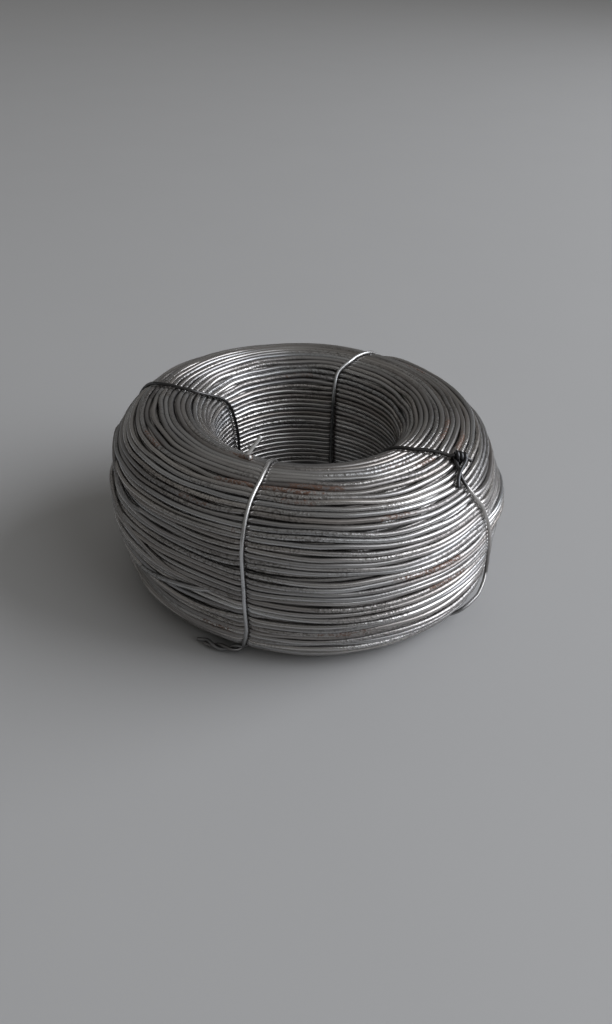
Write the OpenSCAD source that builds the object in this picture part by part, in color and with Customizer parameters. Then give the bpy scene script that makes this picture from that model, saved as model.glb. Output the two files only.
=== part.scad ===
// Coil of drawn tie wire, wound without a spool and bound by four short ties.
// Millimetres, +Z up, the coil's axis on Z and its foot on z = 0.

/* [Coil] */
// Outside diameter, at the swell of the outer face
coil_od = 110; // [104:1:150]
// Diameter of the bore
bore_d = 51; // [40:1:56]
// Height from the foot to the crown
coil_h = 49.5; // [44:0.5:80]
// Round of the outer edge on top
crown_out = 16.5; // [8:0.5:18]
// Round of the bore's edge on top
crown_in = 10; // [5:0.5:11]
// Round of the outer edge at the foot
foot_out = 11; // [6:0.5:16]
// Round of the bore's edge at the foot
foot_in = 5.5; // [3:0.5:10]
// Swell of the outer face at half height
swell = 0.9; // [0.2:0.1:2]

/* [Wire] */
// Diameter of the coil's wire
wire_d = 1.4; // [1.2:0.1:2]
// Spacing of neighbouring turns
turn_pitch = 1.45; // [1.3:0.05:2]
// Depth of the groove between two turns
groove = 0.45; // [0.2:0.05:0.5]
// Depth of the flat that is worn on the crests of the bore and the foot
crest_flat = 0.03; // [0.02:0.01:0.06]

/* [Wire end] */
// Diameter of the wire's free end
end_d = 1; // [0.8:0.1:1.4]
// Distance of the free end's root from the coil's axis
end_r = 34.4; // [33:0.2:40]
// Direction of the free end's root, from +X
end_az = -116; // [-180:1:180]
// Length of the free end above the turns
end_len = 6.5; // [3:0.5:10]
// Slope of the free end
end_rise = 45; // [30:1:80]
// Turn of the free end away from the line to the axis
end_turn = 27; // [-45:1:45]

/* [Ties] */
// Diameter of the tie wire
tie_d = 1; // [0.8:0.1:1.2]
// Direction of the front tie, from +X
front_az = -105; // [-110:1:-90]
// Direction of the right tie on the crown
right_az = -33; // [-45:1:-20]
// Turn of the right tie on its way from the crown to the bore
right_lean = -9; // [-15:1:15]
// Turn of the right tie on its way from the crown to the foot
right_slant = 6; // [-10:1:10]
// Direction of the back tie on the crown
back_az = 66; // [60:1:90]
// Turn of the back tie on its way from the crown to the bore
back_lean = 8; // [-15:1:15]
// Direction of the left tie on the crown
left_az = 171; // [160:1:180]
// Turn of the left tie on its way from the crown to the bore
left_lean = -19; // [-20:1:15]
// Turn of the left tie on its way from the crown to the foot
left_slant = -9; // [-10:1:10]
// Length of the twisted ends of the front tie
front_tail = 10.5; // [4:0.5:14]
// Length of the twisted ends of the right tie
right_tail = 4.5; // [3:0.5:8]
// Length of the twisted ends of the back and the left tie
plain_tail = 6; // [3:0.5:10]
// Length along the twist for one full turn
twist_pitch = 5; // [4.5:0.5:8]
// Rise of the twisted ends off the coil's face
tail_lift = 22; // [18:1:60]
// Rise of the right tie's twisted ends
right_lift = 40; // [18:1:60]
// Place of the twists, as a share of the round at the foot
twist_share = 0.42; // [0.3:0.02:0.7]
// Place of the right tie's twist, as a share of the round on top
knot_share = 0.62; // [0.3:0.02:0.8]

/* [Hidden] */
$fn = 96;

// Room between a tie and the bottom of its seat
seat_gap = 0.1;
// Room between a tie and the turns that it crosses in the open
stand_off = 0.15;
// Extra depth of the slot across the foot
slot_room = 0.2;
// How far a seated tie lies inside the bore wall and the foot
seat_depth = 0.05;
// Angle along a corner over which a tie comes out of its seat
rise_angle = 45;
// Angles of the section between which a tie leans over
lean_from = 60;
lean_to = 140;
// Room between the two strands of a twist
strand_gap = 0.1;
// Radius at which a tie's ends turn into the twist
tail_bend = 1.2;
// Length of the free end inside the coil
end_root = 1.6;

bore_r = bore_d / 2;
box_in = bore_r - crest_flat;
box_out = coil_od / 2 - swell;
box_low = -crest_flat;
box_w = box_out - box_in;
box_h = coil_h - box_low;

// A corner's round is held to the room that its two faces leave it.
function held(r, beside, across) = r * min(1, box_h / (r + beside), box_w / (r + across));
foot_out_r = held(foot_out, crown_out, foot_in);
crown_out_r = held(crown_out, foot_out, crown_in);
crown_in_r = held(crown_in, foot_in, crown_out);
foot_in_r = held(foot_in, crown_in, foot_out);

// The section's corners, counter-clockwise: centre, round, angle at which the round starts.
corners = [
    [[box_out - foot_out_r, box_low + foot_out_r], foot_out_r, -90],
    [[box_out - crown_out_r, coil_h - crown_out_r], crown_out_r, 0],
    [[box_in + crown_in_r, coil_h - crown_in_r], crown_in_r, 90],
    [[box_in + foot_in_r, box_low + foot_in_r], foot_in_r, 180]
];
FOOT_OUT = 0;
CROWN_OUT = 1;
FOOT_IN = 3;

function dir(a) = [cos(a), sin(a)];
function unit(v) = v / norm(v);

// Point at angle a of corner k, moved outwards by off.
function on_corner(k, a, off) = corners[k][0] + (corners[k][1] + off) * dir(a);

// Swell at share t of the face that follows corner k: only the outer face has it.
function swell_at(k, t) = k == FOOT_OUT ? swell * sin(180 * t) : 0;

// Point at share t of the face that follows corner k, moved outwards by off.
function on_face(k, t, off) =
    let (
        a = corners[k][2] + 90,
        p = on_corner(k, a, off),
        q = on_corner((k + 1) % 4, a, off)
    )
    p + (q - p) * t + swell_at(k, t) * dir(a);

// The turns at the surface: centre of the wire and direction of the face there.
function corner_turns(k) =
    let (
        inset = -wire_d / 2,
        count = max(1, round(PI / 2 * (corners[k][1] + inset) / turn_pitch))
    )
    [for (i = [0 : count - 1])
        let (a = corners[k][2] + 90 * i / count)
        [on_corner(k, a, inset), a]];

function face_turns(k) =
    let (
        inset = -wire_d / 2,
        length = norm(on_face(k, 1, inset) - on_face(k, 0, inset)),
        count = round(length / turn_pitch)
    )
    [for (i = [0 : 1 : count - 1])
        [on_face(k, i / count, inset), corners[k][2] + 90]];

turns = [for (k = [0 : 3]) each concat(corner_turns(k), face_turns(k))];

// Section of the wound wire: the outer turns over the floor of the grooves between them.
module section() {
    intersection() {
        union() {
            polygon([for (t = turns) t[0] + (wire_d / 2 - groove) * dir(t[1])]);
            for (t = turns)
                translate(t[0]) circle(d = wire_d);
        }
        translate([bore_r, 0]) square([coil_od, 2 * coil_h]);
    }
}

// A tie lies inside the bore wall and the foot, and stands proud on the other faces.
function ease(t) = t * t * (3 - 2 * t);
function proud(a) = ease(max(0, min(1, (a + 90) / rise_angle, (180 - a) / rise_angle)));
seated = -(tie_d / 2 + seat_depth);
open = tie_d / 2 + stand_off;
function tie_off(a) = seated + (open - seated) * proud(a);

// Directions of each tie at the foot, on the crown and in the bore.
front_dirs = [front_az, front_az, front_az];
right_dirs = [right_az + right_slant, right_az, right_az + right_lean];
back_dirs = [back_az, back_az, back_az + back_lean];
left_dirs = [left_az + left_slant, left_az, left_az + left_lean];

// Direction of a tie at angle a of corner k: it leans over on its way across the crown.
function tie_az(dirs, k, a) =
    let (share = (a - lean_from) / (lean_to - lean_from))
    k == FOOT_OUT ? dirs[0] : dirs[1] + (dirs[2] - dirs[1]) * ease(max(0, min(1, share)));

// Steps of a tie's line round a corner and up the outer face.
arc_steps = 8;
face_steps = 5;
function arc_angles(a0, a1) =
    let (count = max(1, ceil(arc_steps * (a1 - a0) / 90)))
    [for (i = [0 : count]) a0 + (a1 - a0) * i / count];
face_shares = [for (i = [1 : face_steps - 1]) i / face_steps];

// Point of the section's plane, turned to direction az.
function turned(p, az) = [p[0] * cos(az), p[0] * sin(az), p[1]];

// A tie's line round corner k from angle a0 to a1, and up the outer face.
function tie_arc(dirs, k, a0, a1) =
    [for (a = arc_angles(a0, a1)) turned(on_corner(k, a, tie_off(a)), tie_az(dirs, k, a))];
function tie_rise(dirs) =
    [for (t = face_shares)
        turned(on_face(FOOT_OUT, t, open), dirs[0] + (dirs[1] - dirs[0]) * t)];
function tie_corner(dirs, k) =
    concat(
        tie_arc(dirs, k, corners[k][2], corners[k][2] + 90),
        k == FOOT_OUT ? tie_rise(dirs) : []
    );

// A path without the points that lie on the one before.
function distinct(path) =
    [for (i = [0 : len(path) - 1])
        if (i == 0 || norm(path[i] - path[max(0, i - 1)]) > tie_d / 20) path[i]];

// The seat that a tie has pressed into the bore wall and the foot.
seat_floor = tie_d / 2 + seat_gap;
seat_angle = 2 * asin(seat_floor / bore_r);
seat_line = distinct([for (k = [0 : 3]) each concat(
    [for (a = arc_angles(corners[k][2], corners[k][2] + 90))
        on_corner(k, a, tie_off(a) - seat_floor)],
    k == FOOT_OUT ? [for (t = face_shares) on_face(k, t, open - seat_floor)] : []
)]);
seat_margin = 3 * tie_d;

// Stretch of the seat from radius r0 to r1, below height top, in direction az.
module seat_stretch(az, r0, r1, top) {
    rotate([0, 0, az - seat_angle / 2])
        rotate_extrude(angle = seat_angle)
            difference() {
                translate([r0, -seat_margin])
                    square([r1 - r0, top + seat_margin]);
                polygon(seat_line);
            }
}

// Slot straight across the foot, from the seat in the bore to the seat at the outer edge.
module seat_slot(dirs, r0, r1) {
    start = turned([r0, 0], dirs[2]);
    run = turned([r1, 0], dirs[0]) - start;
    translate(start)
        rotate([0, 0, atan2(run[1], run[0])])
            translate([0, -seat_floor, -seat_margin])
                cube([norm(run), 2 * seat_floor, seat_margin + seat_floor - seated + slot_room]);
}

module tie_seat(dirs) {
    foot_from = corners[FOOT_IN][0][0];
    foot_to = corners[FOOT_OUT][0][0];
    seat_stretch(dirs[2], bore_r - seat_margin, foot_from + tie_d, coil_h + seat_margin);
    seat_stretch(dirs[0], foot_to - tie_d, coil_od / 2 + seat_margin, corners[FOOT_OUT][0][1]);
    seat_slot(dirs, foot_from, foot_to);
}

// The wire's free end, rising out of the crown beside the bore.
module free_end() {
    rotate([0, 0, end_az])
        translate([end_r, 0, coil_h - wire_d / 2])
            rotate([0, 0, 180 - end_turn])
                rotate([0, 90 - end_rise, 0])
                    translate([0, 0, -end_root])
                        cylinder(d = end_d, h = end_root + end_len);
}

module wire_coil() {
    color("darkgray") {
        difference() {
            rotate_extrude() section();
            for (dirs = [front_dirs, right_dirs, back_dirs, left_dirs])
                tie_seat(dirs);
        }
        free_end();
    }
}

// Ring of the tube around point p, square to direction t, starting at direction n.
tube_sides = 8;
function ring(p, t, n, r) =
    [for (j = [0 : tube_sides - 1])
        let (a = 360 * j / tube_sides)
        p + r * (cos(a) * n + sin(a) * cross(t, n))];

// Round tube along the points of a path, with flat ends.
module tube(path, d) {
    last = len(path) - 1;
    along = [for (i = [0 : last])
        unit(path[min(i + 1, last)] - path[max(i - 1, 0)])];
    first_side = unit(cross(along[0], [0.31, 0.52, 0.8]));
    sides = [for (i = 0, n = first_side; i <= last;
            i = i + 1, n = i <= last ? unit(n - (n * along[i]) * along[i]) : n) n];
    points = [for (i = [0 : last]) each ring(path[i], along[i], sides[i], d / 2)];
    near_end = [for (j = [0 : tube_sides - 1]) j];
    far_end = [for (j = [tube_sides - 1 : -1 : 0]) last * tube_sides + j];
    walls = [for (i = [0 : last - 1], j = [0 : tube_sides - 1])
        let (
            a = i * tube_sides + j,
            b = i * tube_sides + (j + 1) % tube_sides
        )
        [a, a + tube_sides, b + tube_sides, b]];
    polyhedron(points, concat([near_end, far_end], walls));
}

// A tie: twisted end, bend, loop round the section, bend and the other twisted end.
// corner and share give the twist's place, way (1 or -1) the side to which it lies,
// lift and lift_to how far it rises from the coil's face and to which angle of the section.
bend_steps = 4;
twist_step = 30;
module tie(dirs, corner, share, tail, lift, lift_to, way) {
    a = corners[corner][2] + 90 * share;
    az = tie_az(dirs, corner, a);
    base = turned(on_corner(corner, a, tie_off(a)), az);
    along = turned(dir(a + 90), az);
    sideways = [-sin(az), cos(az), 0];
    axis = way * cos(lift) * sideways + sin(lift) * turned(dir(lift_to), az);
    up = unit(along - (along * axis) * axis);
    side = cross(axis, up);
    spread = tie_d / 2 + strand_gap / 2;
    reach = (spread + tail_bend) / (corners[corner][1] + tie_off(a)) * 180 / PI;
    coils = round(360 * tail / twist_pitch / twist_step);
    bend = function(s) [for (i = [1 : bend_steps])
        let (b = 90 * i / bend_steps)
        base + s * (spread + tail_bend * (1 - sin(b))) * up + tail_bend * (1 - cos(b)) * axis];
    strand = function(s) [for (i = [1 : coils])
        let (b = twist_step * i)
        base + (tail_bend + twist_pitch * b / 360) * axis + s * spread * (cos(b) * up + sin(b) * side)];
    backwards = function(list) [for (i = [len(list) - 1 : -1 : 0]) list[i]];
    loop = concat(
        tie_arc(dirs, corner, a + reach, corners[corner][2] + 90),
        corner == FOOT_OUT ? tie_rise(dirs) : [],
        [for (k = [1 : 3]) each tie_corner(dirs, (corner + k) % 4)],
        tie_arc(dirs, corner, corners[corner][2], a - reach)
    );
    tube(distinct(concat(
        backwards(concat(bend(1), strand(1))),
        loop,
        bend(-1),
        strand(-1)
    )), tie_d);
}

module tie_front() {
    color("silver") tie(front_dirs, FOOT_OUT, twist_share, front_tail, tail_lift, 0, -1);
}

module tie_right() {
    color("dimgray") tie(right_dirs, CROWN_OUT, knot_share, right_tail, right_lift, 90 * knot_share, 1);
}

module tie_back() {
    color("silver") tie(back_dirs, FOOT_OUT, twist_share, plain_tail, tail_lift, 0, 1);
}

module tie_left() {
    color("dimgray") tie(left_dirs, FOOT_OUT, twist_share, plain_tail, tail_lift, 0, -1);
}

wire_coil();
tie_front();
tie_right();
tie_back();
tie_left();
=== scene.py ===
"""Coil of drawn tie wire: its wound turns, its free end and the four ties that bind it."""
import math

import bmesh
import bpy
import numpy as np
from bpy.props import FloatProperty, FloatVectorProperty, IntProperty, PointerProperty
from bpy.types import Operator, Panel, PropertyGroup
from mathutils import Euler, Matrix, Vector


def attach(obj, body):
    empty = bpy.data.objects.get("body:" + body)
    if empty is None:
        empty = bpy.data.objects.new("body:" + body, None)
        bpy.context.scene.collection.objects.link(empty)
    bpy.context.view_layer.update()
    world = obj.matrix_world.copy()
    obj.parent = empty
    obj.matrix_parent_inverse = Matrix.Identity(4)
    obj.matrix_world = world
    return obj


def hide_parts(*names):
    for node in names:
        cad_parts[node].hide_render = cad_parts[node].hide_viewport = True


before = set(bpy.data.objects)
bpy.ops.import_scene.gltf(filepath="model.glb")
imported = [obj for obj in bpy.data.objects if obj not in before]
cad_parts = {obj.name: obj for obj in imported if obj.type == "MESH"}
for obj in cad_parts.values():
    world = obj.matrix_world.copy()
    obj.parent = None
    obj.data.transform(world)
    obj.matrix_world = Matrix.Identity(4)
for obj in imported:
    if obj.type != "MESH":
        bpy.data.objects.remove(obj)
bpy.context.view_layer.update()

bl_info = {
    "name": "Coil of Tie Wire",
    "version": (1, 0, 0),
    "blender": (4, 5, 0),
    "location": "View3D > Sidebar > Wire Coil",
    "description": "Winds a coil of drawn steel tie wire and binds it with four short ties",
    "category": "Add Mesh",
}

MM = 0.001
ROOT = "root"
COIL_NODE = "wire_coil"

# Directions at which the lay of the turns is worked out, a degree apart.
LAY = np.radians(np.arange(360.0))

# A place on the section is a number: its whole part is a stretch and the rest the share of it.
# The stretches go from the middle of the foot out, up, over and down the bore: 0 foot, 1 foot round, 2 outer face,
# 3 crown round, 4 top, 5 crown at the bore, 6 bore, 7 foot at the bore and 8 the rest of the foot.
STRETCHES = 9
BORE = 6

# Settings that properties share.
LENGTH = {"unit": "LENGTH", "precision": 5}
COLOUR = {"subtype": "COLOR", "size": 3, "min": 0, "max": 1}


def linear(text):
    """An sRGB hex colour as linear RGB."""
    values = [int(text[k:k + 2], 16) / 255 for k in (1, 3, 5)]
    return [c / 12.92 if c <= 0.04045 else ((c + 0.055) / 1.055) ** 2.4 for c in values]


class COIL_PG_sizes(PropertyGroup):
    """Sizes of the wound coil."""

    outside: FloatProperty(
        name="Outside diameter", description="Across the swell of the outer face", default=110 * MM, **LENGTH)
    bore: FloatProperty(
        name="Bore", description="Diameter of the open middle", default=51 * MM, **LENGTH)
    height: FloatProperty(
        name="Height", description="From the foot to the crown", default=49.5 * MM, **LENGTH)
    crown_round: FloatProperty(
        name="Crown round", description="Round of the outer edge on top", default=16.5 * MM, **LENGTH)
    crown_bore: FloatProperty(
        name="Crown round at the bore", description="Round of the bore's edge on top", default=10 * MM, **LENGTH)
    foot_round: FloatProperty(
        name="Foot round", description="Round of the outer edge at the foot", default=11 * MM, **LENGTH)
    foot_bore: FloatProperty(
        name="Foot round at the bore", description="Round of the bore's edge at the foot", default=5.5 * MM, **LENGTH)
    swell: FloatProperty(
        name="Swell", description="Bulge of the outer face at half height", default=0.9 * MM, **LENGTH)
    skew: FloatProperty(
        name="Skew", description="How far the foot has slid towards +X and the crown away from it",
        default=1.3 * MM, **LENGTH)
    wire: FloatProperty(
        name="Wire", description="Diameter of the coil's wire", default=1.4 * MM, **LENGTH)
    loose_turns: IntProperty(
        name="Outer turns", description="Turns from the foot over the outer face to the bore's edge",
        default=58, min=20)
    bore_turns: IntProperty(
        name="Bore turns", description="Turns down the bore to the foot", default=33, min=10)
    stub: FloatProperty(
        name="Free end", description="Diameter of the wire's free end", default=1.0 * MM, **LENGTH)
    seed: IntProperty(
        name="Lay", description="Number that fixes how the turns wander", default=11, min=0)


class COIL_PG_ties(PropertyGroup):
    """Sizes of the four ties."""

    wire: FloatProperty(
        name="Tie wire", description="Diameter of the tie wire", default=1.0 * MM, **LENGTH)
    dip_face: FloatProperty(
        name="Pinch outside", description="How far a tie presses the outer turns in", default=0.55 * MM, **LENGTH)
    dip_bore: FloatProperty(
        name="Pinch in the bore", description="How far a tie presses the turns of the bore in",
        default=0.55 * MM, **LENGTH)
    dip_foot: FloatProperty(
        name="Pinch at the foot", description="How far a tie presses the turns of the foot in",
        default=1.1 * MM, **LENGTH)
    pinch_width: FloatProperty(
        name="Width of a pinch", description="Reach of a pinch along the wire", default=1.2 * MM, **LENGTH)
    twist_pitch: FloatProperty(
        name="Twist", description="Length of one full turn of the twisted ends", default=8 * MM, **LENGTH)


class COIL_PG_finish(PropertyGroup):
    """Colours of the wire."""

    steel: FloatVectorProperty(
        name="Drawn steel", description="Reflected colour of the clean wire", default=linear("#C9C9C8"), **COLOUR)
    dull: FloatVectorProperty(
        name="Dull steel", description="Reflected colour where the wire has gone grey",
        default=linear("#848180"), **COLOUR)
    rust: FloatVectorProperty(
        name="Rust", description="Colour of the thick rust", default=linear("#573A2D"), **COLOUR)
    stain: FloatVectorProperty(
        name="Rust stain", description="Colour of the thin rust", default=linear("#82614E"), **COLOUR)
    # The tie wire's dark colour: partly black oxide from annealing, partly painted shade on the stretches of tie that
    # lie in shade or face away from the light.
    oxide_and_shade: FloatVectorProperty(
        name="Black oxide", description="Reflected colour of the tie wire where it is black from annealing",
        default=linear("#39393B"), **COLOUR)
    tie: FloatVectorProperty(
        name="Tie wire", description="Reflected colour of the tie wire", default=linear("#D2D2D1"), **COLOUR)
    pit: FloatVectorProperty(
        name="Pits", description="Colour of the pits and the scale in them", default=linear("#57534F"), **COLOUR)
    # This colour also makes the cut end's face lighter, as a painted highlight.
    bare: FloatVectorProperty(
        name="Bare steel", description="Reflected colour where the wire is freshly cut or scuffed",
        default=linear("#DEDEDB"), **COLOUR)


class COIL_PG_stage(PropertyGroup):
    """Floor and light."""

    floor: FloatVectorProperty(
        name="Floor", description="Colour of the plain floor", default=linear("#C2C2C2"), **COLOUR)
    key: FloatProperty(
        name="Window light", description="Strength of the wide soft panel on the right", default=2.65, min=0)
    fill: FloatProperty(
        name="Front light", description="Strength of the dimmer panel on the right in front", default=0.68, min=0)
    room: FloatProperty(
        name="Room light", description="Brightness of the room all round", default=0.105, min=0)
    ceiling: FloatProperty(
        name="Ceiling light", description="Brightness of the room overhead", default=0.22, min=0)


class SectionLine:
    """The line through the centres of the outer turns, once round the coil's section."""

    # Points on each quarter round, points on the outer face, and stations of the finished line.
    ROUND_POINTS, FACE_POINTS, STATIONS = 181, 60, 6000

    def __init__(self, sizes):
        inset = sizes.wire / 2
        inside, outside = sizes.bore / 2, sizes.outside / 2 - sizes.swell
        corners = [
            (outside - sizes.foot_round, sizes.foot_round, sizes.foot_round, -90),
            (outside - sizes.crown_round, sizes.height - sizes.crown_round, sizes.crown_round, 0),
            (inside + sizes.crown_bore, sizes.height - sizes.crown_bore, sizes.crown_bore, 90),
            (inside + sizes.foot_bore, sizes.foot_bore, sizes.foot_bore, 180),
        ]
        middle = (corners[0][0] + corners[3][0]) / 2
        radius, height, ends = [[middle]], [[inset]], []
        for k, (r, z, size, start) in enumerate(corners):
            angle = np.radians(np.linspace(start, start + 90, self.ROUND_POINTS))
            ends.append(sum(map(len, radius)))
            radius.append(r + (size - inset) * np.cos(angle))
            height.append(z + (size - inset) * np.sin(angle))
            ends.append(sum(map(len, radius)) - 1)
            if k == 0:
                share = np.linspace(0, 1, self.FACE_POINTS + 2)[1:-1]
                radius.append(outside - inset + sizes.swell * np.sin(np.pi * share))
                height.append(z + (corners[1][1] - z) * share)
        radius = np.concatenate(radius + [[middle]])
        height = np.concatenate(height + [[inset]])
        along = np.concatenate([[0], np.cumsum(np.hypot(np.diff(radius), np.diff(height)))])
        self.length = along[-1]
        self.marks = np.concatenate([[0], along[ends], [self.length]])
        self.station = np.linspace(0, self.length, self.STATIONS, endpoint=False)
        self.radius = np.interp(self.station, along, radius)
        self.height = np.interp(self.station, along, height)
        run = np.roll(self.radius, -1) - np.roll(self.radius, 1)
        rise = np.roll(self.height, -1) - np.roll(self.height, 1)
        size = np.hypot(run, rise)
        self.out_radius, self.out_height = rise / size, -run / size

    def where(self, place):
        """Stations of places on the section."""
        return np.interp(place, np.arange(STRETCHES + 1), self.marks)

    def place(self, station):
        """Places on the section of stations."""
        return np.interp(station, self.marks, np.arange(STRETCHES + 1))

    def at(self, station, lift=0.0):
        """Radius and height at stations, moved out from the coil by lift."""
        r, z, out_r, out_z = (
            np.interp(station, self.station, line, period=self.length)
            for line in (self.radius, self.height, self.out_radius, self.out_height))
        return r + lift * out_r, z + lift * out_z


# Where each tie runs: places on the section and directions there, in degrees from +X.
TIE_LINES = {
    "tie_front": ((0, -106), (1.57, -107), (1.85, -105.2), (2.06, -104.5), (2.65, -104.5), (3.03, -105),
                  (3.41, -104.8), (3.6, -104.5), (3.83, -103.5), (5.2, -104), (6, -104), (9, -106)),
    "tie_right": ((0, -38), (1, -38), (1.4, -37.5), (1.65, -36.2), (1.7, -35.2), (1.72, -33.2), (1.75, -30),
                  (1.8, -26), (1.84, -23), (1.9, -20.5), (2.1, -20.5), (2.44, -23.5), (2.65, -24.8), (2.79, -25.8),
                  (2.94, -27.5), (3.1, -30), (3.2, -31.8), (3.3, -33.5), (3.38, -34.5), (3.46, -35.2), (3.56, -33.5),
                  (3.68, -31.3), (3.76, -31.3), (3.85, -33), (3.93, -35.2), (4.07, -37.5), (5.02, -39.5),
                  (5.17, -41.2), (5.6, -41.5), (8, -42), (9, -38)),
    "tie_back": ((0, 69), (1, 65), (3.7, 64), (3.85, 64.2), (4, 65.7), (5.12, 66.8), (5.26, 68.5), (5.4, 70.8),
                 (5.52, 72.5), (5.94, 72.8), (6.43, 74.2), (8, 74), (9, 69)),
    "tie_left": ((0, 157.5), (1, 160), (3, 161), (3.5, 163), (3.66, 165.5), (3.75, 167.5), (3.88, 170), (4.09, 171.5),
                 (5.07, 172.5), (5.25, 172), (5.41, 168.8), (5.57, 163), (5.68, 158), (5.78, 154.5), (5.92, 152),
                 (6.05, 149.5), (6.13, 147.5), (6.24, 146), (6.4, 145.2), (7, 148), (8, 152), (9, 157.5)),
}


def at_places(table, place):
    """Values at places on the section, from a table of places and values."""
    return np.interp(place, *zip(*table))


def tie_direction(name, place):
    """Directions of a tie at places on the section, in radians."""
    return np.radians(at_places(TIE_LINES[name], place))


def pinch(ties, place):
    """How far a tie presses the turns in at places on the section."""
    face, bore, foot = ties.dip_face, ties.dip_bore, ties.dip_foot
    table = ((1, foot), (1.5, (foot + face) / 2), (2, face), (5.4, face), (6, bore), (7, bore), (7.7, 0.9 * foot),
             (8, foot))
    return at_places(table, place)


def wrapped(angle):
    """Angles brought between -pi and pi."""
    return (angle + np.pi) % (2 * np.pi) - np.pi


def ease(share):
    """Shares from 0 to 1 that leave 0 and reach 1 gently."""
    return share * share * (3 - 2 * share)


def turned(angle, radius, height):
    """Points at directions, radii and heights, one row each."""
    return np.stack([radius * np.cos(angle), radius * np.sin(angle), height], 1)


def run_of(line):
    """Length along a line at each of its points."""
    return np.concatenate([[0], np.cumsum(np.linalg.norm(np.diff(line, axis=0), axis=1))])


def ways_of(line):
    """Unit direction of a line at each of its points."""
    ways = np.gradient(line, axis=0)
    return ways / np.linalg.norm(ways, axis=1)[:, None]


def resampled(line, at):
    """Points of a line at lengths along it."""
    run = run_of(line)
    return np.stack([np.interp(at, run, line[:, k]) for k in range(3)], 1)


def bump(angle, centre, half, edge):
    """1 within half of a direction, easing to 0 over edge, all in degrees."""
    away = np.abs(np.degrees(wrapped(angle - math.radians(centre))))
    return ease(np.clip((half + edge - away) / edge, 0, 1))


def form(place, angle):
    """How far the stack bulges at places on the section and directions."""
    return sum(
        rise * MM * np.exp(-((place - at) / reach) ** 2) * bump(angle, direction, half, edge)
        for at, reach, direction, half, edge, rise in FORM)


def wander(rng, count, orders):
    """Smooth closed random lines over the directions, most of them between -1 and 1."""
    lines = np.zeros((count, len(LAY)))
    for order in orders:
        size = rng.normal(size=(count, 1)) / math.sqrt(len(orders))
        lines += size * np.cos(order * LAY + rng.uniform(0, 2 * np.pi, (count, 1)))
    return lines


# Turns that are squeezed out of the layer and lie on their neighbours: place on the section, direction and half
# length of the stretch in degrees, and rise in mm. At its ends it eases off over the edge, in degrees too.
SQUEEZED = (
    (2.80, 192, 14, 0.9), (2.68, 198, 12, 0.9), (2.20, 210, 22, 0.8), (3.34, 215, 18, 0.6), (2.40, 120, 40, 1.15),
    (2.85, 62, 30, 1.1), (3.45, 100, 35, 0.9), (2.10, 40, 25, 1.0), (3.60, 30, 20, 0.7), (1.75, 150, 30, 0.9),
    (2.35, -70, 9, 0.6), (3.22, -140, 16, 0.7), (2.52, -150, 14, 0.7),
)
SQUEEZE_EDGE = 34
# Gaps that stand open, in the same way: place on the section, direction, half length and width in mm.
OPEN_GAPS = (
    (2.84, -91, 10, 1.3), (3.34, -6, 14, 2.2), (2.9, 40, 15, 1.0), (2.5, 150, 20, 0.9), (2.3, -135, 12, 0.7),
)
GAP_EDGE = 18
# Where the stack bulges or is sunk: place on the section, reach there, direction, half width and edge in degrees,
# and rise in mm.
FORM = (
    (2.73, 0.2, 12, 20, 18, 1.5), (3.2, 0.14, 6, 16, 18, -0.7),
    (2.0, 0.25, -160, 16, 24, -1.2), (2.8, 0.12, -168, 10, 20, 0.4), (3.18, 0.12, -173, 12, 20, -0.5),
    (2.6, 0.3, 95, 20, 30, 0.8), (3.1, 0.2, 135, 15, 25, -0.6), (1.8, 0.3, 50, 15, 25, 0.7),
)


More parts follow.
